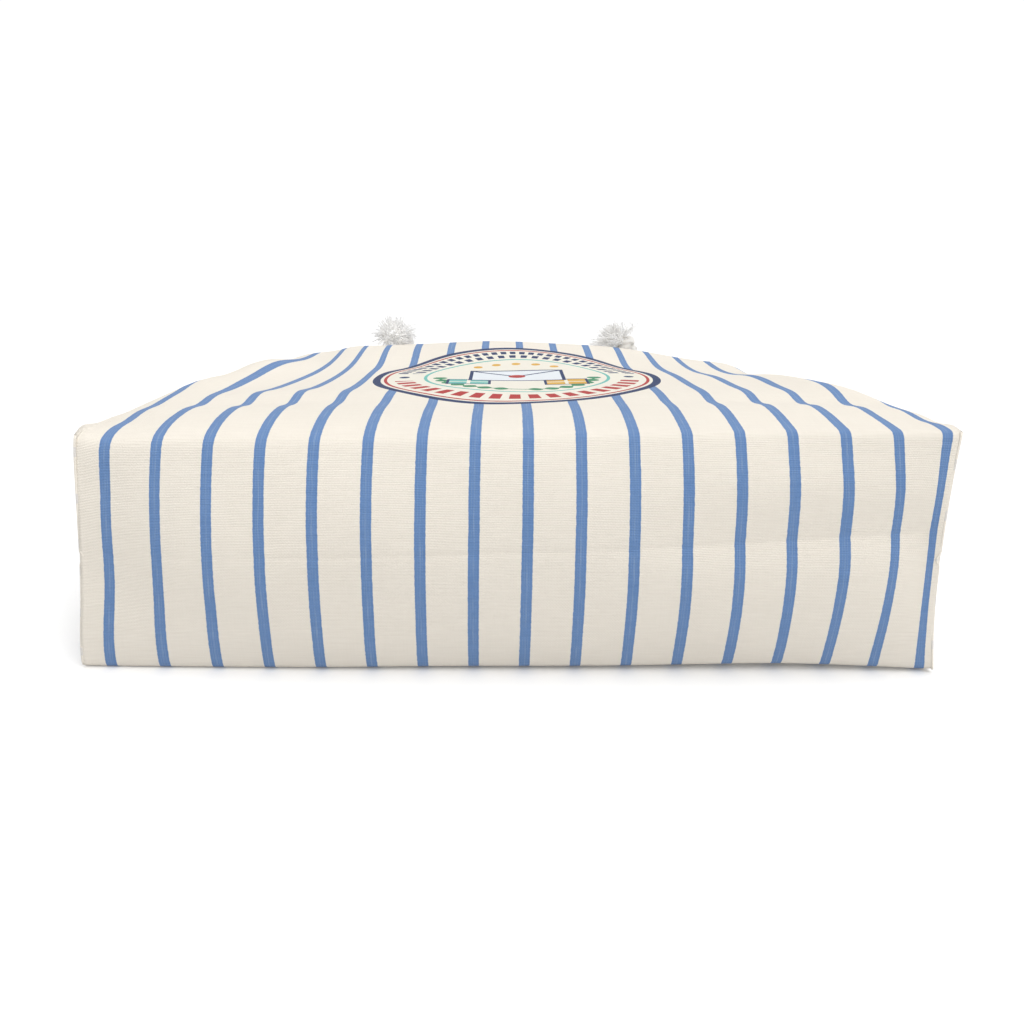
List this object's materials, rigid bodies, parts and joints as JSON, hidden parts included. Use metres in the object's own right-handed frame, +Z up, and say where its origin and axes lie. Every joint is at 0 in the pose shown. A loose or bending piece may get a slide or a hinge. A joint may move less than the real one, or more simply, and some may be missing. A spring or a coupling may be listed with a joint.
{
  "type": "canvas mail sack",
  "caption": "Boxed-bottom canvas sack with sewn sides, a hemmed mouth, metal eyelets and two swinging knotted rope handles.",
  "frame": {"origin": "under the middle of the cloth, at the height of the table that the sack lies on", "axes": "+X across the sack, +Y from the boxed bottom to the mouth, +Z up, out of the front panel"},
  "size_m": [0.5806, 0.6428, 0.1699],
  "materials": {
    "striped_canvas": "woven cream canvas with blue ticking stripes",
    "turned_in_canvas": "plain reverse of the canvas",
    "overlocked_seam": "overlocked raw edges",
    "nickel_eyelet": "nickel-plated",
    "cotton_rope": "twisted natural cotton"
  },
  "bodies": {
    "sack": {"back_eyelet_left": "nickel_eyelet", "back_eyelet_right": "nickel_eyelet", "back_hem": "turned_in_canvas", "back_knot_left": "cotton_rope", "back_knot_right": "cotton_rope", "back_panel": "striped_canvas", "back_rope_left": "cotton_rope", "back_rope_right": "cotton_rope", "back_tuft_left": "cotton_rope", "back_tuft_right": "cotton_rope", "back_washer_left": "nickel_eyelet", "back_washer_right": "nickel_eyelet", "bottom_panel": "striped_canvas", "front_eyelet_left": "nickel_eyelet", "front_eyelet_right": "nickel_eyelet", "front_hem": "turned_in_canvas", "front_knot_left": "cotton_rope", "front_knot_right": "cotton_rope", "front_panel": "striped_canvas", "front_rope_left": "cotton_rope", "front_rope_right": "cotton_rope", "front_tuft_left": "cotton_rope", "front_tuft_right": "cotton_rope", "front_washer_left": "nickel_eyelet", "front_washer_right": "nickel_eyelet", "left_corner_seam": "overlocked_seam", "left_side_seam": "overlocked_seam", "right_corner_seam": "overlocked_seam", "right_side_seam": "overlocked_seam"},
    "front_handle": {"front_handle": "cotton_rope"},
    "back_handle": {"back_handle": "cotton_rope"}
  },
  "joints": [
    {"name": "front_handle_swing", "type": "hinge", "parent": "sack", "child": "front_handle", "pos_m": [0, 0.18432, 0.11092], "axis": [1, 0, 0], "range_deg": [0, 150]},
    {"name": "back_handle_swing", "type": "hinge", "parent": "sack", "child": "back_handle", "pos_m": [0, 0.18432, 0.03677], "axis": [1, 0, 0], "range_deg": [0, 100]}
  ]
}
